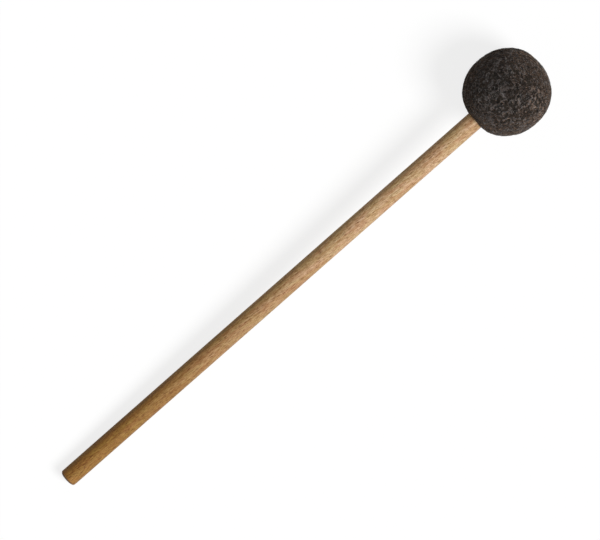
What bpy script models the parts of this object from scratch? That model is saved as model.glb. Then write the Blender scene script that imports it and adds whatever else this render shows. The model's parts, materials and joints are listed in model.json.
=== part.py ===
"""Keyboard percussion mallet: a beech dowel with a ball of wool felt on a turned beech core.

The mallet lies on a table (z = 0), touching it with the ball and with the lower rim of the butt.
The handle points along +X, from the butt to the head, and rises a few degrees towards the head.
Every solid is turned about the handle's axis. Lengths are in metres.
"""

import math

import bmesh
import bpy

# Driving dimensions, along the handle from the middle of the butt's face
HANDLE_DIAMETER = 0.010
HANDLE_LENGTH = 0.320
HEAD_CENTRE = 0.3133

# The ball of felt is a little longer than it is wide, and a little squarer than an ellipsoid
BALL_LENGTH = 0.0468
BALL_DIAMETER = 0.0458
BALL_SQUARENESS = 2.17
NECK_ROUNDING = 0.0008

# Inside the ball: a turned beech core in a firm layer of felt
CORE_DIAMETER = 0.030
UNDERLAY_THICKNESS = 0.003
SOCKET_DEPTH_PAST_CENTRE = 0.0073
SOCKET_CHAMFER = 0.0008
DRILL_POINT_ANGLE = math.radians(118)

# The sanded butt: a flat disc inside a soft elliptical shoulder
BUTT_FLAT_RADIUS = 0.0016
BUTT_SHOULDER_LENGTH = 0.0017
TIP_CHAMFER = 0.001

# Touching solids keep this much air between them
GAP = 0.0003

# The pieces inside the ball share the handle's facets, so that the gaps between them stay even
HANDLE_FACETS = 32
COVER_FACETS = 48
SHOULDER_STEPS = 8
INSIDE_STEPS = 14
OUTSIDE_STEPS = 28
ROUNDING_STEPS = 3
SHARP_EDGE = math.radians(40)
SAME_POINT = 1e-6

# The search for the tilt at which the mallet lies on the table
MOST_TILT = math.radians(10)
HALVINGS = 40

HANDLE_RADIUS = HANDLE_DIAMETER / 2
SOCKET_RADIUS = HANDLE_RADIUS + GAP
CORE_RADIUS = CORE_DIAMETER / 2
UNDERLAY_INNER_RADIUS = CORE_RADIUS + GAP
UNDERLAY_OUTER_RADIUS = UNDERLAY_INNER_RADIUS + UNDERLAY_THICKNESS
COVER_INNER_RADIUS = UNDERLAY_OUTER_RADIUS + GAP


def clear_scene():
    for leftover in list(bpy.data.objects):
        bpy.data.objects.remove(leftover)


def finish(name, colour, roughness):
    """A plain non-metallic material in a linear colour."""
    material = bpy.data.materials.new(name)
    material.use_nodes = True
    material.diffuse_color = (*colour, 1)
    shader = material.node_tree.nodes["Principled BSDF"]
    shader.inputs["Base Color"].default_value = (*colour, 1)
    shader.inputs["Roughness"].default_value = roughness
    shader.inputs["Metallic"].default_value = 0
    return material


def evenly(start, end, steps):
    return [start + (end - start) * step / steps for step in range(steps + 1)]


def on_superellipse(half_length, half_width, squareness, start, end, steps):
    """Points (x, radius) from one angle off +X to another: a circle where the squareness is 2."""
    power = 2 / squareness
    points = []
    for angle in evenly(start, end, steps):
        along = math.copysign(abs(math.cos(angle)) ** power, math.cos(angle))
        points.append((half_length * along, half_width * math.sin(angle) ** power))
    return points


def on_circle(radius, start, end, steps):
    return on_superellipse(radius, radius, 2, start, end, steps)


def angle_where(radius, half_width, squareness=2):
    """The angle off +X at which the neck side of a superellipse is this far from the axis."""
    return math.pi - math.asin((radius / half_width) ** (squareness / 2))


def turned(name, profile, facets, material, parent, centre=0.0):
    """A solid turned about X from (x, radius) points that start and end on the axis.

    The profile starts half a facet off the bottom, so that a flat of the solid faces the table.
    """
    off_bottom = math.pi / facets
    shape = bmesh.new()
    points = [
        shape.verts.new((x, radius * math.sin(off_bottom), -radius * math.cos(off_bottom)))
        for x, radius in profile
    ]
    edges = [shape.edges.new(ends) for ends in zip(points, points[1:])]
    bmesh.ops.spin(
        shape,
        geom=points + edges,
        cent=(0, 0, 0),
        axis=(1, 0, 0),
        angle=math.tau,
        steps=facets,
        use_merge=True,
    )
    bmesh.ops.remove_doubles(shape, verts=shape.verts, dist=SAME_POINT)
    bmesh.ops.recalc_face_normals(shape, faces=shape.faces)
    mesh = bpy.data.meshes.new(name)
    shape.to_mesh(mesh)
    shape.free()
    mesh.shade_smooth()
    mesh.set_sharp_from_angle(angle=SHARP_EDGE)
    mesh.materials.append(material)
    piece = bpy.data.objects.new(name, mesh)
    piece.parent = parent
    piece.location.x = centre
    bpy.context.collection.objects.link(piece)
    return piece


def make_handle(parent):
    """The dowel: sanded round at the butt, and chamfered at the end that sits in the core."""
    shoulder_width = HANDLE_RADIUS - BUTT_FLAT_RADIUS
    profile = [(0, 0)]
    for angle in evenly(0, math.pi / 2, SHOULDER_STEPS):
        along = BUTT_SHOULDER_LENGTH * (1 - math.cos(angle))
        profile.append((along, BUTT_FLAT_RADIUS + shoulder_width * math.sin(angle)))
    profile.append((HANDLE_LENGTH - TIP_CHAMFER, HANDLE_RADIUS))
    profile.append((HANDLE_LENGTH, HANDLE_RADIUS - TIP_CHAMFER))
    profile.append((HANDLE_LENGTH, 0))
    beech = finish("beech_handle", colour=(0.48, 0.29, 0.15), roughness=0.5)
    return turned("handle", profile, HANDLE_FACETS, beech, parent)


def drill_point_length(radius):
    return radius / math.tan(DRILL_POINT_ANGLE / 2)


def make_core_ball(parent):
    """The turned ball, with a blind socket that a twist drill leaves with a conical bottom."""
    mouth_radius = SOCKET_RADIUS + SOCKET_CHAMFER
    mouth_angle = angle_where(mouth_radius, CORE_RADIUS)
    profile = on_circle(CORE_RADIUS, 0, mouth_angle, INSIDE_STEPS)
    mouth_x = profile[-1][0]
    profile.append((mouth_x + SOCKET_CHAMFER, SOCKET_RADIUS))
    profile.append((SOCKET_DEPTH_PAST_CENTRE, SOCKET_RADIUS))
    profile.append((SOCKET_DEPTH_PAST_CENTRE + drill_point_length(SOCKET_RADIUS), 0))
    beech = finish("beech_core", colour=(0.52, 0.34, 0.19), roughness=0.7)
    return turned("core_ball", profile, HANDLE_FACETS, beech, parent, HEAD_CENTRE)


def make_socket_glue(parent):
    """The cured glue that gathers in the drill point, under the end of the handle."""
    start = HANDLE_LENGTH - HEAD_CENTRE + GAP
    apex = (
        SOCKET_DEPTH_PAST_CENTRE
        + drill_point_length(SOCKET_RADIUS)
        - GAP / math.sin(DRILL_POINT_ANGLE / 2)
    )
    cone_start = apex - drill_point_length(HANDLE_RADIUS)
    profile = [(start, 0), (start, HANDLE_RADIUS), (cone_start, HANDLE_RADIUS), (apex, 0)]
    glue = finish("cured_wood_glue", colour=(0.62, 0.50, 0.28), roughness=0.3)
    return turned("socket_glue", profile, HANDLE_FACETS, glue, parent, HEAD_CENTRE)


def make_felt_underlay(parent):
    """The firm inner layer of felt, a thick shell that is open where the handle passes."""
    inner_angle = angle_where(SOCKET_RADIUS, UNDERLAY_INNER_RADIUS)
    outer_angle = angle_where(SOCKET_RADIUS, UNDERLAY_OUTER_RADIUS)
    profile = on_circle(UNDERLAY_INNER_RADIUS, 0, inner_angle, INSIDE_STEPS)
    profile += on_circle(UNDERLAY_OUTER_RADIUS, outer_angle, 0, INSIDE_STEPS)
    wool = finish("pressed_felt_underlay", colour=(0.36, 0.34, 0.31), roughness=0.95)
    return turned("felt_underlay", profile, HANDLE_FACETS, wool, parent, HEAD_CENTRE)


def make_felt_cover(parent):
    """The outer ball of felt, seamless, and rounded over where it closes on the handle."""
    inner_angle = angle_where(SOCKET_RADIUS, COVER_INNER_RADIUS)
    profile = on_circle(COVER_INNER_RADIUS, 0, inner_angle, INSIDE_STEPS)
    half_length = BALL_LENGTH / 2
    half_width = BALL_DIAMETER / 2
    rim_radius = SOCKET_RADIUS + NECK_ROUNDING
    rim_angle = angle_where(rim_radius, half_width, BALL_SQUARENESS)
    outside = on_superellipse(
        half_length, half_width, BALL_SQUARENESS, rim_angle, 0, OUTSIDE_STEPS
    )
    rounding_centre_x = outside[0][0] + NECK_ROUNDING
    for angle in evenly(math.pi / 2, 0, ROUNDING_STEPS)[:-1]:
        x = rounding_centre_x - NECK_ROUNDING * math.cos(angle)
        profile.append((x, rim_radius - NECK_ROUNDING * math.sin(angle)))
    profile += outside
    felt = finish("marled_wool_felt", colour=(0.040, 0.034, 0.031), roughness=0.95)
    return turned("felt_cover", profile, COVER_FACETS, felt, parent, HEAD_CENTRE)


def corners(piece, tilt):
    """The piece's points (x, z) once the handle rises by this tilt towards the head."""
    along, up = math.cos(tilt), math.sin(tilt)
    places = [piece.location + vertex.co for vertex in piece.data.vertices]
    return [(p.x * along - p.z * up, p.x * up + p.z * along) for p in places]


def lowest(piece, tilt):
    return min(z for x, z in corners(piece, tilt))


def resting_tilt(handle, ball):
    """The rise of the handle at which the butt and the ball touch one table, by bisection."""
    low, high = 0.0, MOST_TILT
    for _ in range(HALVINGS):
        tilt = (low + high) / 2
        if lowest(ball, tilt) < lowest(handle, tilt):
            low = tilt
        else:
            high = tilt
    return tilt


def lay_on_table(mallet, handle, ball):
    """Puts the middle of the mallet's footprint at the origin, with the table at z = 0."""
    tilt = resting_tilt(handle, ball)
    reach = [x for x, z in corners(handle, tilt) + corners(ball, tilt)]
    mallet.rotation_euler.y = -tilt
    mallet.location.x = -(min(reach) + max(reach)) / 2
    mallet.location.z = -lowest(ball, tilt)


def main():
    clear_scene()
    mallet = bpy.data.objects.new("mallet", None)
    bpy.context.collection.objects.link(mallet)
    handle = make_handle(mallet)
    make_core_ball(mallet)
    make_socket_glue(mallet)
    make_felt_underlay(mallet)
    ball = make_felt_cover(mallet)
    lay_on_table(mallet, handle, ball)


main()
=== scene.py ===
# %% [markdown]
# # A felt-headed mallet for bar percussion
#
# The object is about as plain as an instrument part can be: a parallel beech dowel with a ball of
# marled, grey-brown wool felt on its end. With so little shape to look at, the two materials carry
# the picture, so most of this lesson is about wood that is solid all the way through, and about felt
# that is made of fibres and not of a smooth skin.
#
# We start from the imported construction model. It fixes where every piece is, in metres, and our
# detailed pieces have to lie exactly there.

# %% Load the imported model
import json
import math
import random

import bmesh
import bpy
from mathutils import Euler, Matrix, Vector, noise
from mathutils.bvhtree import BVHTree


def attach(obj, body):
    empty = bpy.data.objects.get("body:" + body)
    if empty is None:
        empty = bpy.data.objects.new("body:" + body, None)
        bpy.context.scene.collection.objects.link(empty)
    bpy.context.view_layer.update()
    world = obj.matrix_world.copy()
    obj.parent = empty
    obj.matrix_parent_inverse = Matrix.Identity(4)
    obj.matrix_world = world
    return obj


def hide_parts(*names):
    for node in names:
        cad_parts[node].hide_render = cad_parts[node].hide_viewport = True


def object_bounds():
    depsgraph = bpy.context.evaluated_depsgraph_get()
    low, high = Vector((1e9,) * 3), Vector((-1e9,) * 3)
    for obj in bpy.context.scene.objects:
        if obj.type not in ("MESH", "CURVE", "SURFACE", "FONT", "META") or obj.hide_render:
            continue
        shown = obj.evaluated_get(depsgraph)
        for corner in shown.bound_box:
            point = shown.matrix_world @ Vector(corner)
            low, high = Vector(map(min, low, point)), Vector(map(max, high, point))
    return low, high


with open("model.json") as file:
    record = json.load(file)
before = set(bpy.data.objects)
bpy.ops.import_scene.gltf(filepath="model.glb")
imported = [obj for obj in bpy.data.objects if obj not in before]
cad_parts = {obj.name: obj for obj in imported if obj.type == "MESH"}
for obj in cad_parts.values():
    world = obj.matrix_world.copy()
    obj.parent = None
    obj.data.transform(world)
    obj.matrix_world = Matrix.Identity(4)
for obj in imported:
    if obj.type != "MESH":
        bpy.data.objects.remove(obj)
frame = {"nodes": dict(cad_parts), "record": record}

CAD_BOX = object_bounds()
MM = 0.001

print("construction pieces:", ", ".join(sorted(frame["nodes"])))

# %% [markdown]
# ## A frame of our own along the handle
#
# The mallet lies on a table, so its handle rises a few degrees towards the head. Shaping pieces along
# a sloping line is awkward. We therefore work in a straight frame of our own, in millimetres, with x
# running along the handle from the butt, and move each finished mesh into place once, at the end.
#
# The record's only mount is the flat face of the butt. Its point and its direction give us the slope
# without our copying a number. The sizes come from the construction pieces. Only the ball's length
# can't be measured there, because its neck is cut away for the handle, so half of it is given here.

# %% The handle's frame
butt_mount = frame["record"]["mounts"][0]
along = -Vector(butt_mount["axis"]).normalized()
across = Vector((0, 1, 0))
turn_to_row = Matrix((along, across, along.cross(across))).transposed().to_4x4()
HANDLE_TO_ROW = Matrix.Translation(butt_mount["pos_m"]) @ turn_to_row @ Matrix.Scale(MM, 4)
ROW_TO_HANDLE = HANDLE_TO_ROW.inverted()


def reach(node):
    """(highest x, largest radius) of a construction piece, in mm along the handle."""
    corners = [ROW_TO_HANDLE @ v.co for v in frame["nodes"][node].data.vertices]
    return max(c.x for c in corners), max(math.hypot(c.y, c.z) for c in corners)


HANDLE_LENGTH, HANDLE_RADIUS = reach("handle")
BALL_FAR_END, BALL_HALF_WIDTH = reach("felt_cover")
_, UNDERLAY_RADIUS = reach("felt_underlay")
BALL_HALF_LENGTH = 23.4
BALL_CENTRE = BALL_FAR_END - BALL_HALF_LENGTH

print(f"handle {HANDLE_LENGTH:.1f} mm long, {2 * HANDLE_RADIUS:.2f} mm thick")
print(f"ball centred {BALL_CENTRE:.1f} mm from the butt, {2 * BALL_HALF_WIDTH:.1f} mm across")

# %% [markdown]
# ## The camera
#
# The photograph looks straight down on the mallet, which lies diagonally across the picture. Its
# handle is drawn equally thick from end to end, so the camera was far away with a long lens.
#
# Such a camera could be matched by eye, a little at a time. But two points fix it: the pixels where
# the two ends of the mallet lie in the photograph. Their line gives the camera's roll, and two
# equations of similar triangles, one for each end, give its height and its place along the mallet.

# %% The camera
PICTURE_WIDTH, PICTURE_HEIGHT = 600, 540
BUTT_PIXEL = Vector((66.2, 479.8))
HEAD_PIXEL = Vector((540.0, 63.1))
LENS_MM = 300
SENSOR_MM = 36
FARTHEST_VIEW_M = 100


def placed(name, data):
    """A new object with this data, in the scene."""
    made = bpy.data.objects.new(name, data)
    bpy.context.scene.collection.objects.link(made)
    return made


low_corner, high_corner = CAD_BOX
butt_x, head_x = low_corner.x, high_corner.x
butt_z = butt_mount["pos_m"][2]
ball_middle = HANDLE_TO_ROW @ Vector((BALL_CENTRE, 0, 0))

picture_along = (HEAD_PIXEL - BUTT_PIXEL).normalized()
picture_across = Vector((picture_along.y, -picture_along.x))
picture_centre = Vector((PICTURE_WIDTH / 2, PICTURE_HEIGHT / 2))
focal_pixels = LENS_MM / SENSOR_MM * PICTURE_WIDTH
butt_slope = (BUTT_PIXEL - picture_centre).dot(picture_along) / focal_pixels
head_slope = (HEAD_PIXEL - picture_centre).dot(picture_along) / focal_pixels
side_slope = (BUTT_PIXEL - picture_centre).dot(picture_across) / focal_pixels

camera_height = (head_x - butt_x + head_slope * ball_middle.z - butt_slope * butt_z) / (
    head_slope - butt_slope
)
camera_x = butt_x - butt_slope * (camera_height - butt_z)
camera_y = -side_slope * (camera_height - ball_middle.z)

lens = bpy.data.cameras.new("camera")
lens.lens = LENS_MM
lens.sensor_width = SENSOR_MM
lens.clip_end = FARTHEST_VIEW_M
camera = placed("camera", lens)
camera.location = (camera_x, camera_y, camera_height)
camera.rotation_euler.z = math.atan2(picture_along.y, picture_along.x)
bpy.context.scene.camera = camera

roll_deg = -math.degrees(camera.rotation_euler.z)
print(f"camera {camera_height:.2f} m up, mallet turned {roll_deg:.2f} degrees in the picture")

# %% [markdown]
# ## Colours, nodes and coordinates
#
# Colours are written as they would be picked on a screen, in sRGB hex, and one function turns them
# into the linear values that a renderer adds and multiplies.
#
# One function adds a node with its settings and links. A link is written in the place of a value, as
# the output or the node that it comes from, so a material reads like a list of formulas.
#
# A pattern can be tied to the surface, by unwrapping it, or to space. Ours are tied to the handle's
# own frame, in millimetres: a Mapping node turns Object coordinates into it. So nothing has a seam,
# and a growth ring or a fibre can be given its real size.


# %% Helpers for materials
def linear(hex_colour):
    """An sRGB colour such as "#C8A27C" as linear red, green, blue and alpha."""
    values = [int(hex_colour[i:i + 2], 16) / 255 for i in (1, 3, 5)]
    return [v / 12.92 if v <= 0.04045 else ((v + 0.055) / 1.055) ** 2.4 for v in values] + [1]


def in_use(sockets, name=None):
    """The first socket that is in use at the node's settings, of this name if one is given."""
    return next(s for s in sockets if s.enabled and name in (None, s.name))


def add(tree, kind, inputs=None, **settings):
    """Adds a node. Settings are its own properties, and inputs go by a socket's name or number.

    An input is a value, an output of another node, or a node, which stands for its first output.
    """
    made = tree.nodes.new(kind)
    for name, value in settings.items():
        setattr(made, name, value)
    for key, value in (inputs or {}).items():
        socket = made.inputs[key] if isinstance(key, int) else in_use(made.inputs, key)
        if isinstance(value, bpy.types.Node):
            value = in_use(value.outputs)
        if isinstance(value, bpy.types.NodeSocket):
            tree.links.new(value, socket)
        else:
            socket.default_value = value
    return made


def new_material(name):
    """An empty material, and its node tree."""
    material = bpy.data.materials.new(name)
    material.use_nodes = True
    material.node_tree.nodes.clear()
    return material, material.node_tree


def handle_coordinates(tree, origin=(0, 0, 0)):
    """Millimetres in the handle's frame, measured from origin."""
    to_frame = Matrix.Translation(-Vector(origin)) @ ROW_TO_HANDLE
    place, turn, scale = to_frame.decompose()
    return add(tree, "ShaderNodeMapping", {
        "Vector": add(tree, "ShaderNodeTexCoord").outputs["Object"],
        "Location": place,
        "Rotation": turn.to_euler(),
        "Scale": scale,
    })


print(f"the screen's #808080 is a linear {linear('#808080')[0]:.3f}")

# %% [markdown]
# ## Patterns in layers
#
# Wood and felt are both drawn in layers. A layer is a pattern that runs from 0 to 1 and says how much
# of its own shade the surface takes on there.
#
# Layers could be mixed over each other, but each would then hide those under it. We multiply them, as
# stains do, so every layer still shows through those that follow. Only the shades of wool in the felt
# are mixed, because there one tuft does lie over another.


# %% Helpers for patterns
def stretched(tree, place, size, turn=(0, 0, 0), shift=(0, 0, 0)):
    """Coordinates in which one unit is size millimetres, in each of the three directions."""
    turned_place = add(tree, "ShaderNodeMapping", {
        "Vector": place, "Rotation": turn, "Location": shift,
    })
    return add(tree, "ShaderNodeMapping", {
        "Vector": turned_place, "Scale": [1 / s for s in size],
    })


def streaks(tree, place, size, edges, shift=(0, 0, 0), **noise_inputs):
    """A stretched noise, and its streaks: 0 at the first of the two edges and 1 at the second."""
    texture = add(tree, "ShaderNodeTexNoise", {
        "Vector": stretched(tree, place, size, shift=shift), "Scale": 1, **noise_inputs,
    })
    return texture, add(tree, "ShaderNodeMapRange", {
        "Value": texture, "From Min": edges[0], "From Max": edges[1],
    }, interpolation_type="SMOOTHSTEP")


def stained(tree, colour, layers):
    """The colour under layers of (amount, shade), each multiplied in by its amount."""
    for amount, shade in layers:
        colour = add(tree, "ShaderNodeMix", {
            "Factor": amount, "A": colour, "B": shade,
        }, data_type="RGBA", blend_type="MULTIPLY")
    return colour


# %% [markdown]
# ## Beech
#
# Beech is a pale, pinkish-brown, fine-grained wood. Three things make it beech and not just wood:
#
# - its growth rings are faint, each with a thin darker line of late wood;
# - its rays, thin upright sheets of cells that run from the pith to the bark, are cut through
#   everywhere. On a face that crosses them they are short dark dashes, 1 to 4 mm long, and on a face
#   that runs along them they fade;
# - its pores are even and less than 0.1 mm wide. They are drawn as fine darker streaks along the
#   grain, a little coarser than they are.
#
# A grain could be laid round the dowel like paper, but it would meet itself in a seam and know
# nothing of the end. Here it is built as a solid block of wood from which the dowel has been cut, so
# the dashes, the streaks and the end grain agree with each other wherever the surface happens to lie.
# The grain runs out of the dowel at a few degrees, which is what draws the rings into long slanting
# bands.

# %% Growth rings
PITH_OFFSET = (0, 31, -46)
RUN_OUT = (0, math.radians(-2.4), math.radians(4.5))
RING_SPACING = 2.6
RING_WANDER, RING_WANDER_LENGTH = 2.4, 24
LATE_WOOD_START, LATE_WOOD_FULL = 0.4, 0.95


def late_wood(tree, grain):
    """The dark end of each year: the distance from the pith, made to wander, as a saw tooth."""
    wander = add(tree, "ShaderNodeTexNoise", {
        "Vector": grain, "Scale": 1 / RING_WANDER_LENGTH, "Detail": 2,
    })
    moved = add(tree, "ShaderNodeVectorMath", {
        0: wander.outputs["Color"], 1: (0, RING_WANDER, RING_WANDER), 2: grain,
    }, operation="MULTIPLY_ADD")
    flattened = add(tree, "ShaderNodeVectorMath", {0: moved, 1: (0, 1, 1)}, operation="MULTIPLY")
    radius = add(tree, "ShaderNodeVectorMath", {0: flattened}, operation="LENGTH")
    years = add(tree, "ShaderNodeMath", {0: radius, 1: RING_SPACING}, operation="DIVIDE")
    season = add(tree, "ShaderNodeMath", {0: years}, operation="FRACT")
    return add(tree, "ShaderNodeMapRange", {
        "Value": season, "From Min": LATE_WOOD_START, "From Max": LATE_WOOD_FULL,
    }, interpolation_type="SMOOTHSTEP")


print("a growth ring every", RING_SPACING, "mm")

# %% Rays
RAY_TURN = math.radians(-24)
RAY_SIZE = (3.2, 0.28, 4.5)
RAY_POINTEDNESS = 1.2
RAY_EDGE, RAY_CORE = 0.6, 0.3
FAINTEST_RAY = 0.3
RAY_FADED, RAY_CLEAR = 0.98, 0.6
FADED_STRENGTH = 0.2

ray_turn = Euler((RAY_TURN, 0, 0)).to_matrix() @ Euler(RUN_OUT).to_matrix()
RAY_SIDE = turn_to_row.to_3x3() @ ray_turn.transposed() @ Vector((0, 1, 0))


def ray_dashes(tree, grain):
    """Flat lenses, long along the grain, thin across it, and deep towards the pith.

    Each has its own strength, and they fade where the surface runs along them.
    """
    lenses = add(tree, "ShaderNodeTexVoronoi", {
        "Vector": stretched(tree, grain, RAY_SIZE, turn=(RAY_TURN, 0, 0)),
        "Scale": 1, "Exponent": RAY_POINTEDNESS,
    }, distance="MINKOWSKI")
    dashes = add(tree, "ShaderNodeMapRange", {
        "Value": lenses, "From Min": RAY_EDGE, "From Max": RAY_CORE,
    }, interpolation_type="SMOOTHSTEP")
    chance = add(tree, "ShaderNodeSeparateXYZ", {"Vector": lenses.outputs["Color"]})
    own_strength = add(tree, "ShaderNodeMapRange", {
        "Value": chance.outputs["X"], "To Min": FAINTEST_RAY,
    }, interpolation_type="SMOOTHSTEP")
    facing = add(tree, "ShaderNodeVectorMath", {
        0: add(tree, "ShaderNodeTexCoord").outputs["Normal"], 1: RAY_SIDE,
    }, operation="DOT_PRODUCT")
    face_strength = add(tree, "ShaderNodeMapRange", {
        "Value": add(tree, "ShaderNodeMath", {0: facing}, operation="ABSOLUTE"),
        "From Min": RAY_FADED, "From Max": RAY_CLEAR, "To Min": FADED_STRENGTH,
    }, interpolation_type="SMOOTHSTEP")
    strength = add(tree, "ShaderNodeMath", {
        0: own_strength, 1: face_strength,
    }, operation="MULTIPLY")
    return add(tree, "ShaderNodeMath", {0: dashes, 1: strength}, operation="MULTIPLY")


print(f"rays up to {2 * RAY_EDGE * RAY_SIZE[0]:.1f} mm long")

# %% [markdown]
# ## Patina and painted shade
#
# The handle is darker and browner towards the butt, partly from the hands that hold it and partly as
# painted shade, and is paler and pinker towards the head. The side turned from the key light has a
# yellower painted shade all along, most at the butt. The end is darker still, partly as end grain,
# which drinks what touches it, and partly as painted shade where it turns from the light.
#
# Two colours that fade into each other would miss the side and the end. So each of the three changes
# has its own amount, worked out from the place along and across the handle.

# %% Patina and painted shade
SHADED_SIDE_START, SHADED_SIDE_FULL = 0.2, 3.6
END_DARKENING_DEPTH, END_DARKENING_FULL = 1.8, 0.2


def patina_and_painted_shade(tree, place, head_colour, butt_colour, start, end, side_shade_at_head):
    """The colour before the grain is drawn: darker towards the butt and at the end, partly patina and
    end grain and partly painted shade, with painted shade on the side turned from the key light.
    """
    from_butt = add(tree, "ShaderNodeSeparateXYZ", {"Vector": place})
    # Darker towards the butt: partly patina from the hands, partly painted shade
    butt_patina_and_shade = add(tree, "ShaderNodeMapRange", {
        "Value": from_butt.outputs["X"], "From Min": end, "From Max": start,
    }, interpolation_type="SMOOTHSTEP")
    # Painted shade: yellower and darker on the side turned from the key light, most at the butt
    side_shade_along = add(tree, "ShaderNodeMapRange", {
        "Value": from_butt.outputs["X"], "From Min": end, "From Max": start, "To Min": side_shade_at_head,
    }, interpolation_type="SMOOTHSTEP")
    shaded_side = add(tree, "ShaderNodeMapRange", {
        "Value": from_butt.outputs["Y"], "From Min": SHADED_SIDE_START, "From Max": SHADED_SIDE_FULL,
    }, interpolation_type="SMOOTHSTEP")
    painted_side_shade = add(tree, "ShaderNodeMath", {0: side_shade_along, 1: shaded_side}, operation="MULTIPLY")
    # Darker at the end: partly end grain, partly painted shade where the end turns from the light
    end_grain_and_shade = add(tree, "ShaderNodeMapRange", {
        "Value": from_butt.outputs["X"], "From Min": END_DARKENING_DEPTH, "From Max": END_DARKENING_FULL,
    }, interpolation_type="SMOOTHSTEP")
    colour = add(tree, "ShaderNodeMix", {
        "Factor": butt_patina_and_shade, "A": linear(head_colour), "B": linear(butt_colour),
    }, data_type="RGBA")
    return stained(tree, colour, [(painted_side_shade, linear("#F6EBC0")), (end_grain_and_shade, linear("#8E7862"))])


print("end grain darkened", END_DARKENING_DEPTH, "mm deep")

# %% [markdown]
# ## The handle's wood
#
# Here the patina, with its painted shade, and the grain come together. Rings, mottle, fibres, pores
# and rays are laid over it from the faintest to the darkest, and a slow tint makes one stretch of the
# wood rosier than the next.
#
# Sanded and handled, the wood is satin and not glossy. It could be given a low roughness for that,
# but a bare dowel has no film of lacquer to shine. So it has little gloss, and a faint sheen from the
# nap that sanding leaves.

# %% The handle's wood
FIBRE_SIZE, FIBRE_EDGES = (3.2, 0.36, 0.36), (0.58, 0.34)
PORE_SIZE, PORE_EDGES = (1.2, 0.1, 0.1), (0.56, 0.68)
MOTTLE_SIZE, MOTTLE_EDGES = (3.2, 0.9, 0.9), (0.62, 0.38)
TINT_SIZE, TINT_EDGES, TINT_SHIFT = (11, 3.0, 3.0), (0.38, 0.62), (7, 3, 5)
GRAIN_RELIEF_MM = 0.02
ROUGHNESS_SPREAD = 0.05
BEECH_IOR = 1.5


def beech(name, head_colour, butt_colour, darkening_start, darkening_end, side_shade_at_head=0.0, roughness=0.62):
    """Solid beech that changes from butt_colour to head_colour between two distances in mm.

    The change is partly patina and partly painted shade. The side turned from the key light has a
    yellower painted shade, fully so at the butt, and by the share side_shade_at_head at the head.
    """
    material, tree = new_material(name)
    place = handle_coordinates(tree)
    grain = add(tree, "ShaderNodeMapping", {
        "Vector": place, "Location": PITH_OFFSET, "Rotation": RUN_OUT,
    })
    fibre_noise, fine_fibres = streaks(
        tree, grain, FIBRE_SIZE, FIBRE_EDGES, Detail=3, Roughness=0.6
    )
    _, pores = streaks(tree, grain, PORE_SIZE, PORE_EDGES, Detail=1)
    _, mottle = streaks(tree, grain, MOTTLE_SIZE, MOTTLE_EDGES, Detail=3, Distortion=0.5)
    _, tint_zones = streaks(tree, grain, TINT_SIZE, TINT_EDGES, shift=TINT_SHIFT, Detail=2)
    tint = add(tree, "ShaderNodeMix", {
        "Factor": tint_zones, "A": linear("#FFF5EE"), "B": linear("#FDFDEC"),
    }, data_type="RGBA")

    colour = patina_and_painted_shade(tree, place, head_colour, butt_colour, darkening_start, darkening_end, side_shade_at_head)
    colour = stained(tree, colour, [
        (1.0, tint),
        (late_wood(tree, grain), linear("#F0E6DB")),
        (mottle, linear("#EEE6DC")),
        (fine_fibres, linear("#DBCCBA")),
        (pores, linear("#CDB9A3")),
        (ray_dashes(tree, grain), linear("#9C7D5F")),
    ])
    relief = add(tree, "ShaderNodeMath", {0: fibre_noise, 1: pores}, operation="SUBTRACT")
    shader = add(tree, "ShaderNodeBsdfPrincipled", {
        "Base Color": colour,
        "Roughness": add(tree, "ShaderNodeMapRange", {
            "Value": fine_fibres,
            "To Min": roughness - ROUGHNESS_SPREAD, "To Max": roughness + ROUGHNESS_SPREAD,
        }, interpolation_type="SMOOTHSTEP"),
        "IOR": BEECH_IOR,
        "Specular IOR Level": 0.18,
        "Sheen Weight": 0.2,
        "Sheen Roughness": 0.5,
        "Sheen Tint": linear("#FFF6EE"),
        "Normal": add(tree, "ShaderNodeBump", {
            "Height": relief, "Strength": 0.5, "Distance": GRAIN_RELIEF_MM * MM,
        }),
    })
    add(tree, "ShaderNodeOutputMaterial", {"Surface": shader})
    return material


handle_beech = beech("sanded beech dowel", "#E5CAAB", "#AE874B", 20, 235, side_shade_at_head=0.5)
core_beech = beech("turned beech core", "#D6B590", "#D6B590", 0, 1, roughness=0.7)

print("materials:", handle_beech.name, "and", core_beech.name)

# %% [markdown]
# ## Wool felt
#
# The ball is pressed from undyed wool of several natural shades, which is what gives the marl: no
# pattern, only dark brown-grey with a fine, confused speckle of lighter and darker fibres. Felt has
# no gloss at all, but its standing fibres catch the light along the rim, and that is what the
# shader's sheen is for.
#
# One speckled noise would be quick, but it looks like stone, because it has no lines in it. So the
# colour is built up as the felt is:
#
# - a dark ground with hollows between the tufts, from the distance to the nearest cell of a Voronoi
#   pattern, darkened in the hollows partly as dark wool and partly as painted shade, and with cloudy
#   zones of a browner wool about a centimetre wide;
# - pale threads that curl through it, from a ridged noise, broken up by a speckle;
# - short straight strokes turned every way, one in each cell of two more Voronoi patterns;
# - a paler patch on the side that strikes the bars and faces the light, partly rubbed felt and partly
#   a painted highlight;
# - and over all of these, crossing hairs that break up every edge and stand up in the bump, with
#   painted shade between them.
#
# Real fibres are some 0.03 mm thick, which no picture of the whole mallet could show. The threads and
# the strokes are therefore drawn many times too coarse, as the tufts that the photograph shows, and
# the hairs four or five times, so that they show from close by.

# %% Threads
THREAD_MM, THREAD_EDGES = 2.3, (0.5, 1.0)
SPECKLE_MM, SPECKLE_EDGES = 2.0, (0.46, 0.6)
THREAD_ZONES, THREAD_STRENGTHS = (0.6, 0.4), (0.4, 1.1)


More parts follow.
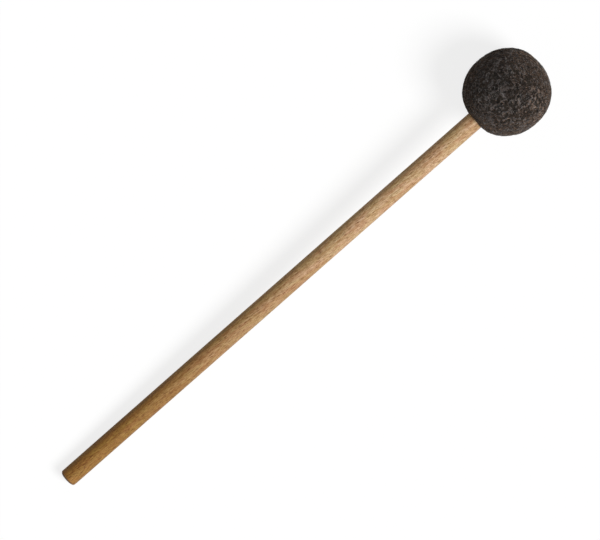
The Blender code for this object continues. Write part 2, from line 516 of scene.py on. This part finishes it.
def threads(tree, place, zones):
    """Pale threads, broken up by a speckle, and weaker where the zones are browner."""
    ridges = add(tree, "ShaderNodeTexNoise", {
        "Vector": place, "Scale": 1 / THREAD_MM, "Detail": 1, "Roughness": 0.5,
        "Lacunarity": 2.3, "Offset": 0.9, "Gain": 2.0,
    }, noise_type="RIDGED_MULTIFRACTAL", normalize=True)
    speckle = add(tree, "ShaderNodeTexNoise", {
        "Vector": place, "Scale": 1 / SPECKLE_MM, "Detail": 3, "Roughness": 0.5,
    })
    shown = add(tree, "ShaderNodeMapRange", {
        "Value": zones, "From Min": THREAD_ZONES[0], "From Max": THREAD_ZONES[1],
        "To Min": THREAD_STRENGTHS[0], "To Max": THREAD_STRENGTHS[1],
    }, interpolation_type="SMOOTHSTEP")
    for texture, edges in ((ridges, THREAD_EDGES), (speckle, SPECKLE_EDGES)):
        amount = add(tree, "ShaderNodeMapRange", {
            "Value": texture, "From Min": edges[0], "From Max": edges[1],
        }, interpolation_type="SMOOTHSTEP")
        shown = add(tree, "ShaderNodeMath", {0: shown, 1: amount}, operation="MULTIPLY")
    return shown


print("threads", THREAD_MM, "mm apart, in a speckle of", SPECKLE_MM, "mm")

# %% Strokes
STROKE_CELL, STROKE_LENGTH, STROKE_WIDTH = 2.2, 1.7, 0.5
STROKE_CORE = 0.35
BARE_CELLS = 0.2


def strokes(tree, place, shift=(0, 0, 0)):
    """Short strokes of wool, each turned and lit by the random colour of its own cell."""
    moved = add(tree, "ShaderNodeVectorMath", {0: place, 1: shift}, operation="ADD")
    cells = add(tree, "ShaderNodeTexVoronoi", {"Vector": moved, "Scale": 1 / STROKE_CELL})
    from_middle = add(tree, "ShaderNodeVectorMath", {
        0: moved, 1: cells.outputs["Position"],
    }, operation="SUBTRACT")
    turn = add(tree, "ShaderNodeVectorMath", {
        0: cells.outputs["Color"], "Scale": math.tau,
    }, operation="SCALE")
    turned_place = add(tree, "ShaderNodeVectorRotate", {
        "Vector": from_middle, "Rotation": turn,
    }, rotation_type="EULER_XYZ")
    narrowed = add(tree, "ShaderNodeVectorMath", {
        0: turned_place, 1: (1 / STROKE_LENGTH, 1 / STROKE_WIDTH, 1 / STROKE_WIDTH),
    }, operation="MULTIPLY")
    shape = add(tree, "ShaderNodeMapRange", {
        "Value": add(tree, "ShaderNodeVectorMath", {0: narrowed}, operation="LENGTH"),
        "From Min": 1.0, "From Max": STROKE_CORE,
    }, interpolation_type="SMOOTHSTEP")
    chance = add(tree, "ShaderNodeSeparateXYZ", {"Vector": cells.outputs["Color"]})
    strength = add(tree, "ShaderNodeMapRange", {
        "Value": chance.outputs["Z"], "From Min": BARE_CELLS,
    }, interpolation_type="SMOOTHSTEP")
    return add(tree, "ShaderNodeMath", {0: shape, 1: strength}, operation="MULTIPLY")


print("strokes", 2 * STROKE_LENGTH, "mm long and", 2 * STROKE_WIDTH, "mm wide")

# %% Hairs
HAIR_SIZE = (0.14, 1.8, 1.8)
HAIR_TURNS = [(0, 0, 0), (0.3, 0.9, 1.6), (1.2, 1.5, 0.3), (0.7, 2.4, 2.2)]
HAIR_EDGES = (0.52, 0.7)


def hairs(tree, place):
    """Hairs, from noises squeezed into thin sheets, which the surface cuts as curling lines.

    The sheets are turned several ways to cross each other, and the strongest of them shows.
    """
    strongest = 0.0
    for turn in HAIR_TURNS:
        sheets = add(tree, "ShaderNodeTexNoise", {
            "Vector": stretched(tree, place, HAIR_SIZE, turn=turn, shift=turn),
            "Scale": 1, "Detail": 1, "Distortion": 0.6,
        })
        strongest = add(tree, "ShaderNodeMath", {0: sheets, 1: strongest}, operation="MAXIMUM")
    return strongest


print("hairs crossing in", len(HAIR_TURNS), "directions")

# %% Ground and hollows with painted shade, and a worn patch with painted highlight
ZONE_MM, BROWN_ZONES = 9, (0.4, 0.62)
PIT_MM, PIT_EDGES = 2.2, (0.6, 0.2)
PALE_PATCH_PLACE = (-4, -22, 6)
PALE_PATCH_EDGE, PALE_PATCH_CORE = 18, 8
PALE_PATCH_FRAY = 10


def felt_ground(tree, zones, pits, middle, brown, dark):
    """The middle shade, with cloudy browner zones, and hollows darkened partly as dark wool and partly
    as painted shade.
    """
    colour = linear(middle)
    # Dark in the hollows: partly dark wool, partly painted shade
    for texture, edges, other in ((zones, BROWN_ZONES, brown), (pits, PIT_EDGES, dark)):
        amount = add(tree, "ShaderNodeMapRange", {
            "Value": texture, "From Min": edges[0], "From Max": edges[1],
        }, interpolation_type="SMOOTHSTEP")
        colour = add(tree, "ShaderNodeMix", {
            "Factor": amount, "A": colour, "B": linear(other),
        }, data_type="RGBA")
    return colour


def worn_and_lit_patch(tree, place, zones, amount):
    """The amount of a paler patch on the lit side, partly wear and partly painted highlight: round,
    and frayed by the zones.
    """
    from_pale_patch = add(tree, "ShaderNodeVectorMath", {0: place, 1: PALE_PATCH_PLACE}, operation="DISTANCE")
    frayed = add(tree, "ShaderNodeMath", {
        0: zones, 1: PALE_PATCH_FRAY, 2: from_pale_patch,
    }, operation="MULTIPLY_ADD")
    return add(tree, "ShaderNodeMapRange", {
        "Value": frayed, "From Min": PALE_PATCH_EDGE, "From Max": PALE_PATCH_CORE, "To Max": amount,
    }, interpolation_type="SMOOTHSTEP")


print("worn patch about", PALE_PATCH_EDGE + PALE_PATCH_CORE - PALE_PATCH_FRAY, "mm across")

# %% The felt
CURL_MM, CURL_LENGTH = 1.0, 2.5
SECOND_STROKES = (5.3, 2.7, 8.1)
HAIR_STRENGTHS = (0.35, 1.4)
HAIR_RELIEF = 0.5
FELT_RELIEF_MM = 0.8


def wool_felt(name, dark, middle, light, brown, sheen=0.64, worn_and_lit=0.0):
    """Felt in three shades of one wool, with cloudy zones of a browner one."""
    material, tree = new_material(name)
    place = handle_coordinates(tree, (BALL_CENTRE, 0, 0))
    curl = add(tree, "ShaderNodeTexNoise", {"Vector": place, "Scale": 1 / CURL_LENGTH, "Detail": 2})
    curled = add(tree, "ShaderNodeVectorMath", {
        0: curl.outputs["Color"], 1: (CURL_MM, CURL_MM, CURL_MM), 2: place,
    }, operation="MULTIPLY_ADD")
    zones = add(tree, "ShaderNodeTexNoise", {"Vector": place, "Scale": 1 / ZONE_MM, "Detail": 3})
    pits = add(tree, "ShaderNodeTexVoronoi", {"Vector": curled, "Scale": 1 / PIT_MM})
    hair = hairs(tree, curled)

    standing = threads(tree, curled, zones)
    for shift in ((0, 0, 0), SECOND_STROKES):
        standing = add(tree, "ShaderNodeMath", {
            0: standing, 1: strokes(tree, curled, shift),
        }, operation="MAXIMUM")
    # The paler patch on the lit side is partly rubbed felt and partly a painted highlight
    pale = add(tree, "ShaderNodeMath", {
        0: standing, 1: worn_and_lit_patch(tree, place, zones, worn_and_lit),
    }, operation="ADD")
    hair_strength = add(tree, "ShaderNodeMapRange", {
        "Value": hair, "From Min": HAIR_EDGES[0], "From Max": HAIR_EDGES[1],
        "To Min": HAIR_STRENGTHS[0], "To Max": HAIR_STRENGTHS[1],
    }, interpolation_type="SMOOTHSTEP")
    hairy = add(tree, "ShaderNodeMath", {0: pale, 1: hair_strength}, operation="MULTIPLY")
    colour = add(tree, "ShaderNodeMix", {
        "Factor": hairy,
        "A": felt_ground(tree, zones, pits, middle, brown, dark),
        "B": linear(light),
    }, data_type="RGBA")
    # Painted shade: darker between the hairs, where the bump is low
    shade_between_hairs = add(tree, "ShaderNodeMapRange", {
        "Value": hair, "From Min": HAIR_EDGES[1], "From Max": HAIR_EDGES[0],
    }, interpolation_type="SMOOTHSTEP")

    height = add(tree, "ShaderNodeMath", {0: hairy, 1: pits}, operation="ADD")
    height = add(tree, "ShaderNodeMath", {
        0: hair, 1: HAIR_RELIEF, 2: height,
    }, operation="MULTIPLY_ADD")
    shader = add(tree, "ShaderNodeBsdfPrincipled", {
        "Base Color": stained(tree, colour, [(shade_between_hairs, linear("#8A8A8A"))]),
        "Roughness": 0.95,
        "Specular IOR Level": 0.15,
        "Sheen Weight": sheen,
        "Sheen Roughness": 0.35,
        "Sheen Tint": linear("#C8A386"),
        "Normal": add(tree, "ShaderNodeBump", {
            "Height": height, "Strength": 1.0, "Distance": FELT_RELIEF_MM * MM,
        }),
    })
    add(tree, "ShaderNodeOutputMaterial", {"Surface": shader})
    return material


marled_felt = wool_felt("marled wool felt", "#120E0B", "#36302A", "#9B999C", "#3D322A", worn_and_lit=0.12)
underlay_felt = wool_felt("undyed wool felt", "#8B8378", "#A59D91", "#C9C1B4", "#9A8C79", sheen=0.2)

print("materials:", marled_felt.name, "and", underlay_felt.name)

# %% [markdown]
# ## From a bmesh to a finished piece
#
# Every piece is shaped in the handle's frame, in millimetres. The last step takes its mesh into the
# row's frame, in metres, and leaves the object itself at the origin, unturned and unscaled, so that
# Object coordinates mean the same thing on each piece.
#
# Both main pieces are turned: a half outline from the axis, round to the axis again, and one spin. A
# spin leaves its faces in an order that can change from run to run. We sort them, so that a lot drawn
# among the faces always falls on the same ones.

# %% Helpers for pieces
SAME_POINT_MM = 0.0005


def as_piece(name, mesh, material):
    """Makes the object of a finished mesh."""
    mesh.shade_smooth()
    mesh.materials.append(material)
    piece = placed(name, mesh)
    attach(piece, "root")
    print(f"{name}: {len(mesh.polygons)} faces")
    return piece


def finished(name, shape, material):
    """Makes the object of a bmesh that was shaped in the handle's frame."""
    bmesh.ops.transform(shape, matrix=HANDLE_TO_ROW, verts=shape.verts)
    mesh = bpy.data.meshes.new(name)
    shape.to_mesh(mesh)
    shape.free()
    return as_piece(name, mesh, material)


def sort_faces(shape):
    """Puts the faces in the order of their corners, which is the same in every run."""
    shape.verts.index_update()
    count = len(shape.verts)

    def rank(face):
        corners = sorted(vert.index for vert in face.verts)
        return (corners[0] * count + corners[1]) * count + corners[-1]

    shape.faces.sort(key=rank)


def turned(profile, facets):
    """A closed bmesh, turned about x from (x, radius) points that start and end on the axis."""
    shape = bmesh.new()
    points = [shape.verts.new((x, 0, -radius)) for x, radius in profile]
    edges = [shape.edges.new(ends) for ends in zip(points, points[1:])]
    bmesh.ops.spin(
        shape,
        geom=points + edges,
        cent=(0, 0, 0),
        axis=(1, 0, 0),
        angle=math.tau,
        steps=facets,
        use_merge=True,
    )
    bmesh.ops.remove_doubles(shape, verts=shape.verts, dist=SAME_POINT_MM)
    bmesh.ops.recalc_face_normals(shape, faces=shape.faces)
    sort_faces(shape)
    shape.normal_update()
    return shape


def evenly(start, end, steps):
    """The ends of a range and the places that part it into equal steps."""
    return [start + (end - start) * step / steps for step in range(steps + 1)]


# %% [markdown]
# ## The handle
#
# The handle is one dowel, cut square and then sanded round at the butt. The photograph shows the
# middle third of the end still flat, inside a soft elliptical shoulder. At the head, the dowel goes
# on into the ball and ends in a small chamfer.
#
# A cylinder with a bevel would come close, but a bevel is as deep as it is wide, and sanding isn't.
# So the shoulder is drawn as a quarter of an ellipse, and the whole outline is turned.
#
# A turned outline is perfect, and a hand-sanded end isn't. A little noise, strongest at the shoulder,
# takes the machine-made look off it. Along the rest, the dowel is true to a few hundredths of a
# millimetre.

# %% The beech handle
BUTT_FLAT_RADIUS = 1.6
SHOULDER_LENGTH, SHOULDER_STEPS = 1.7, 16
TIP_CHAMFER = 1.0
HANDLE_FACETS = 96
RINGS_ALONG_HANDLE = 110
SANDING_REACH = 5
SANDING_MM, SANDING_DEPTH = 2.5, 0.09
# Noise runs from -1 to 1. With this taken from it, sanding takes off more than it leaves standing
SANDING_BIAS = 0.5
WAVE_LENGTH, WAVE_WIDTH, WAVE_DEPTH = 40, 9, 0.02

shoulder = [
    (
        SHOULDER_LENGTH * (1 - math.cos(angle)),
        BUTT_FLAT_RADIUS + (HANDLE_RADIUS - BUTT_FLAT_RADIUS) * math.sin(angle),
    )
    for angle in evenly(0, math.pi / 2, SHOULDER_STEPS)
]
shaft = [
    (x, HANDLE_RADIUS)
    for x in evenly(SHOULDER_LENGTH, HANDLE_LENGTH - TIP_CHAMFER, RINGS_ALONG_HANDLE)
]
tip = [(HANDLE_LENGTH, HANDLE_RADIUS - TIP_CHAMFER), (HANDLE_LENGTH, 0)]
dowel = turned([(0, 0)] + shoulder + shaft[1:] + tip, HANDLE_FACETS)

for vert in dowel.verts:
    x, y, z = vert.co
    near_butt = max(0, 1 - x / SANDING_REACH)
    sanded = SANDING_DEPTH * near_butt * (noise.noise(vert.co / SANDING_MM) - SANDING_BIAS)
    wave = WAVE_DEPTH * noise.noise(Vector((x / WAVE_LENGTH, y / WAVE_WIDTH, z / WAVE_WIDTH)))
    vert.co += vert.normal * (sanded + wave)

handle = finished("beech_handle", dowel, handle_beech)
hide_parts("handle")

# %% [markdown]
# ## The ball of felt
#
# The outline of the ball is a superellipse, a curve between an ellipse and a rounded rectangle: the
# ball is a little longer than it is wide, and a little squarer than a plain ball. A scaled sphere
# would have the one and not the other, and no neck. Inside, a circle runs back around the underlay,
# so that the turned piece is a true shell with a hole for the handle.
#
# Then it gets three sizes of unevenness. A few broad bulges follow the outline in the photograph. A
# slow noise makes the ball as slightly lumpy as hand-worked felt is, and a fine one gives the matted,
# pebbled skin. Where the ball lies on the table, it is pressed flat.

# %% The shell of felt
SQUARENESS = 2.2
NECK_CLEARANCE, NECK_ROUNDING, NECK_STEPS = 0.05, 0.8, 5
SHELL_CLEARANCE, INSIDE_STEPS = 0.3, 16
FUZZ_DEPTH = 0.25
BALL_FACETS = 300
BALL_RINGS = 150


def superellipse(half_length, half_width, squareness, angle):
    """(x, radius) at an angle off the far end, about the middle of the ball."""
    power = 2 / squareness
    x = math.copysign(abs(math.cos(angle)) ** power, math.cos(angle))
    return BALL_CENTRE + half_length * x, half_width * math.sin(angle) ** power


def neck_angle(radius, half_width, squareness):
    """The angle at which the neck side of a superellipse is this far from the axis."""
    return math.pi - math.asin((radius / half_width) ** (squareness / 2))


mouth = HANDLE_RADIUS + NECK_CLEARANCE
inner_radius = UNDERLAY_RADIUS + SHELL_CLEARANCE
inside = [
    superellipse(inner_radius, inner_radius, 2, angle)
    for angle in evenly(0, neck_angle(mouth, inner_radius, 2), INSIDE_STEPS)
]
rim_radius = mouth + NECK_ROUNDING
body_half_length = BALL_HALF_LENGTH - FUZZ_DEPTH
body_half_width = BALL_HALF_WIDTH - FUZZ_DEPTH
rim_angle = neck_angle(rim_radius, body_half_width, SQUARENESS)
outside = [
    superellipse(body_half_length, body_half_width, SQUARENESS, angle)
    for angle in evenly(rim_angle, 0, BALL_RINGS)
]
rim_x = outside[0][0] + NECK_ROUNDING
rounded = [
    (rim_x - NECK_ROUNDING * math.cos(angle), rim_radius - NECK_ROUNDING * math.sin(angle))
    for angle in evenly(math.pi / 2, 0, NECK_STEPS)[:-1]
]
ball = turned(inside + rounded + outside, BALL_FACETS)

print("felt shell of", len(ball.verts), "points")

# %% The felt ball
LUMP_MM, LUMP_HEIGHT = 11, 0.22
LUMP_SHIFT = Vector((3.1, 0.4, 7.7))
TUFT_MM, TUFT_HEIGHT = 1.7, 0.14
TUFT_SOFTNESS, TUFT_LACUNARITY, TUFT_OCTAVES = 0.7, 2.1, 3
# The felt gives by the seat's depth at the table, and by less up to so many depths above it
SEAT_DEPTH, SEAT_SPREAD = 0.4, 3
# Each bulge: its angle off the far end in degrees, its height in mm, and its width in degrees
BULGES = [
    (180, -0.35, 24), (-126, -0.5, 18), (-26, -0.3, 10), (54, -0.3, 12),
    (99, 0.2, 16), (22, 0.18, 10), (-66, 0.18, 14),
]

bulges = [
    (Vector((math.cos(math.radians(angle)), math.sin(math.radians(angle)), 0)), height, width)
    for angle, height, width in BULGES
]
for vert in ball.verts:
    from_centre = vert.co - Vector((BALL_CENTRE, 0, 0))
    if from_centre.length <= inner_radius + SHELL_CLEARANCE:
        continue
    off_handle = math.hypot(vert.co.y, vert.co.z) - mouth
    free = min(1, max(0, off_handle / NECK_ROUNDING))
    lump = LUMP_HEIGHT * noise.noise(from_centre / LUMP_MM + LUMP_SHIFT)
    tuft = TUFT_HEIGHT * noise.fractal(
        from_centre / TUFT_MM, TUFT_SOFTNESS, TUFT_LACUNARITY, TUFT_OCTAVES
    )
    bulge = sum(
        height * math.exp(-(math.degrees(from_centre.angle(side)) / width) ** 2)
        for side, height, width in bulges
    )
    vert.co += vert.normal * free * (lump + tuft + bulge)

felt_ball = finished("felt_ball", ball, marled_felt)
for vertex in felt_ball.data.vertices:
    sag = SEAT_DEPTH * MM * max(0, 1 - vertex.co.z / (SEAT_SPREAD * SEAT_DEPTH * MM))
    vertex.co.z = max(vertex.co.z - sag, 0)
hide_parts("felt_cover")

# %% [markdown]
# ## Loose fibres
#
# A felt surface ends in fibres, not in a skin. Most lie flat and bridge the small hollows, and a few
# stand off by some tenths of a millimetre and soften the outline. Blender's hair could draw them, but
# hair isn't a mesh, and every piece here is kept as one. A curve object is the natural tool: each
# fibre is one short spline, and a bevel gives all of them their thickness at once, about twice the
# real one. The curve is then made a mesh.
#
# A fibre starts at a random point of the ball and walks in short steps, turning a little at each one.
# After each step it is brought back to the surface and lifted by its own small arch, so no fibre
# leaves the ball, and none goes through the table. The pale ones gather in clumps, as the wool of
# another fleece does.

# %% The path of one fibre
# The shell's inner wall is nearer to the middle of the ball than this, and its skin is further out
SKIN_RADIUS_MM = 20.5
FIBRE_STEPS = 5
FIBRE_LENGTHS = (0.5, 1.3)
FIBRE_BEND, FIBRE_WOBBLE = 0.35, 0.2

skin = bmesh.new()
skin.from_mesh(felt_ball.data)
skin_tree = BVHTree.FromBMesh(skin)
outer_faces = [
    face for face in skin.faces
    if (face.calc_center_median() - ball_middle).length > SKIN_RADIUS_MM * MM
]


def fibre_places(dice, face, length, thickness, lift):
    """The points of one fibre that starts at this face."""
    point = face.calc_center_median()
    normal = face.normal.copy()
    heading = normal.orthogonal().normalized()
    heading.rotate(Matrix.Rotation(dice.uniform(0, math.tau), 3, normal))
    step = dice.uniform(*FIBRE_LENGTHS) * length * MM / FIBRE_STEPS
    arch = lift * MM * dice.random() ** 2
    bend = dice.uniform(-FIBRE_BEND, FIBRE_BEND)
    # A fibre's middle stays half its radius over the skin, and its whole radius over the table
    places = []
    for stop in range(FIBRE_STEPS + 1):
        height = arch * math.sin(math.pi * stop / FIBRE_STEPS)
        place = point + normal * (height + thickness / 4 * MM)
        place.z = max(place.z, thickness / 2 * MM)
        places.append(place)
        wobble = dice.uniform(-FIBRE_WOBBLE, FIBRE_WOBBLE)
        heading.rotate(Matrix.Rotation(bend + wobble, 3, normal))
        point, normal, _, _ = skin_tree.find_nearest(point + heading * step)
        heading = (heading - normal * heading.dot(normal)).normalized()
    return places


print("fibres start from any of", len(outer_faces), "faces")

# %% Fibres
FIBRE_SEED = 29
FIBRE_TIP = 0.35
CLUMP_MM = 1.6
LEAST_CHANCE = 0.05


def fibres(name, count, length, thickness, lift, material, seed, clumps=0):
    """Short curling fibres on the felt ball, gathered in clumps if clumps is above 0. Sizes in mm."""
    dice = random.Random(seed)
    chances = []
    for face in outer_faces:
        gathered = 1 + clumps * noise.noise(face.calc_center_median() / MM / CLUMP_MM)
        chances.append(face.calc_area() * max(LEAST_CHANCE, gathered))
    curve = bpy.data.curves.new(name, "CURVE")
    curve.dimensions = "3D"
    curve.bevel_depth = thickness / 2 * MM
    curve.bevel_resolution = 0
    curve.use_fill_caps = True
    for face in dice.choices(outer_faces, weights=chances, k=count):
        spline = curve.splines.new("POLY")
        spline.points.add(FIBRE_STEPS)
        for stop, place in enumerate(fibre_places(dice, face, length, thickness, lift)):
            spline.points[stop].co = (*place, 1)
            spline.points[stop].radius = FIBRE_TIP if stop in (0, FIBRE_STEPS) else 1
    line = placed(name + "_curve", curve)
    bpy.context.view_layer.update()
    evaluated = line.evaluated_get(bpy.context.evaluated_depsgraph_get())
    mesh = bpy.data.meshes.new_from_object(evaluated)
    bpy.data.objects.remove(line)
    mesh.name = name
    return as_piece(name, mesh, material)


# %% [markdown]
# ## The wool of the fibres
#
# A loose fibre is the same wool as the felt, in one shade. It could take the felt's own material, but
# a thread a few hundredths of a millimetre thick is finer than every pattern in it. A plain colour
# that varies a little from place to place is enough to tell one fibre from the next.

# %% The wool of the fibres
WOOL_SHADE_MM, WOOL_SHADE_EDGES = 0.9, (0.35, 0.65)


def fibre_wool(name, colour, sheen):
    """Plain wool of one shade, for fibres too thin to carry a pattern."""
    material, tree = new_material(name)
    place = handle_coordinates(tree)
    shade = add(tree, "ShaderNodeTexNoise", {"Vector": place, "Scale": 1 / WOOL_SHADE_MM})
    darker = add(tree, "ShaderNodeMapRange", {
        "Value": shade, "From Min": WOOL_SHADE_EDGES[1], "From Max": WOOL_SHADE_EDGES[0],
    }, interpolation_type="SMOOTHSTEP")
    shader = add(tree, "ShaderNodeBsdfPrincipled", {
        "Base Color": stained(tree, linear(colour), [(darker, linear("#66605C"))]),
        "Roughness": 1.0,
        "Specular IOR Level": 0.1,
        "Sheen Weight": sheen,
    })
    add(tree, "ShaderNodeOutputMaterial", {"Surface": shader})
    return material


# %% Dark and pale fibres
dark_fibre = fibre_wool("dark wool fibre", "#2A2624", 0.2)
pale_fibre = fibre_wool("pale wool fibre", "#B4B0AD", 0.1)
fibres("dark_fibres", 4000, 3.2, 0.065, 0.3, dark_fibre, FIBRE_SEED)
fibres("pale_fibres", 4400, 1.6, 0.06, 0.25, pale_fibre, FIBRE_SEED + 1, clumps=5)
skin.free()

# %% [markdown]
# ## The pieces inside
#
# The core, the glue and the underlay don't show, but the part can be taken apart, and then they
# should look like what they are. We could model them again, but their construction meshes are already
# right, so each only gets its material. Wood glue cures to a cloudy amber that lets some light in.

# %% Finishes inside the ball
GLUE_CLOUDS_PER_MM = 0.7
GLUE_DEPTH_MM = 1


def cured_glue(name):
    """Cured wood glue: cloudy amber, smooth, and a little translucent."""
    material, tree = new_material(name)
    place = handle_coordinates(tree)
    clouds = add(tree, "ShaderNodeTexNoise", {"Vector": place, "Scale": GLUE_CLOUDS_PER_MM})
    shader = add(tree, "ShaderNodeBsdfPrincipled", {
        "Base Color": add(tree, "ShaderNodeMix", {
            "Factor": clouds, "A": linear("#D8B26A"), "B": linear("#B88A3C"),
        }, data_type="RGBA"),
        "Roughness": 0.25,
        "Subsurface Weight": 0.3,
        "Subsurface Scale": GLUE_DEPTH_MM * MM,
    })
    add(tree, "ShaderNodeOutputMaterial", {"Surface": shader})
    return material


inner_finishes = {
    "core_ball": core_beech,
    "socket_glue": cured_glue("cured wood glue"),
    "felt_underlay": underlay_felt,
}
for node_name, inner_finish in inner_finishes.items():
    frame["nodes"][node_name].material_slots[0].material = inner_finish
    print(node_name, "is", inner_finish.name)

# %% [markdown]
# ## Light
#
# The photograph is lit by one large soft light from the picture's lower right, 40 degrees off
# overhead and turned a little towards the head, with a weak fill all round. An area lamp would be
# nearer to one end of the mallet and light it more. A sun lamp with a wide disc makes such a soft
# light with the same strength at both ends.
#
# The sky gives the fill. Where it is seen, straight or in a reflection, it is white instead.

# %% The key light
KEY_STRENGTH = 2.85
KEY_ANGLE_OFF_OVERHEAD = math.radians(40)
KEY_TURN_TO_HEAD = math.radians(19)
KEY_SOFTNESS = math.radians(25)

key_light = bpy.data.lights.new("key", "SUN")
key_light.energy = KEY_STRENGTH
key_light.angle = KEY_SOFTNESS
key = placed("key", key_light)
key.rotation_euler = (KEY_ANGLE_OFF_OVERHEAD, 0, KEY_TURN_TO_HEAD)

print("key light of strength", KEY_STRENGTH)

# %% The sky
FILL_STRENGTH = 0.125

world = bpy.data.worlds.new("studio")
world.use_nodes = True
bpy.context.scene.world = world
sky = world.node_tree
sky.nodes.clear()
path = add(sky, "ShaderNodeLightPath")
seen = path.outputs["Is Camera Ray"]
for mirrored in ("Is Glossy Ray", "Is Transmission Ray"):
    seen = add(sky, "ShaderNodeMath", {0: seen, 1: path.outputs[mirrored]}, operation="MAXIMUM")
fill = add(sky, "ShaderNodeBackground", {"Color": linear("#FFFFFF"), "Strength": FILL_STRENGTH})
white = add(sky, "ShaderNodeBackground", {"Color": linear("#FFFFFF"), "Strength": 1})
either = add(sky, "ShaderNodeMixShader", {0: seen, 1: fill, 2: white})
add(sky, "ShaderNodeOutputWorld", {"Surface": either})

print("fill light of strength", FILL_STRENGTH)

# %% [markdown]
# ## Table
#
# The photograph is cut out on pure white. A stronger lamp would make a table white too, but it would
# bleach the wood. So the table is a plain pale floor that also glows, to the camera alone: it is just
# white where the light falls on it, and it still darkens where the mallet shades it.

# %% The table
TABLE_HALF_WIDTH_M = 3
TABLE_GLOW = 0.82

table_finish, table_tree = new_material("pale table")
table_path = add(table_tree, "ShaderNodeLightPath")
table_matt = add(table_tree, "ShaderNodeBsdfDiffuse", {"Color": linear("#E6E6E6")})
table_seen = add(table_tree, "ShaderNodeBsdfDiffuse", {"Color": linear("#828282")})
table_glow = add(table_tree, "ShaderNodeEmission", {
    "Color": linear("#FFFFFF"), "Strength": TABLE_GLOW,
})
table_bright = add(table_tree, "ShaderNodeAddShader", {0: table_seen, 1: table_glow})
table_mix = add(table_tree, "ShaderNodeMixShader", {
    0: table_path.outputs["Is Camera Ray"], 1: table_matt, 2: table_bright,
})
add(table_tree, "ShaderNodeOutputMaterial", {"Surface": table_mix})

table_top = bmesh.new()
bmesh.ops.create_grid(table_top, x_segments=1, y_segments=1, size=TABLE_HALF_WIDTH_M)
table_mesh = bpy.data.meshes.new("table")
table_top.to_mesh(table_mesh)
table_top.free()
table_mesh.materials.append(table_finish)
table = placed("table", table_mesh)

bpy.context.scene.view_settings.view_transform = "Standard"

print("table", 2 * TABLE_HALF_WIDTH_M, "m wide")
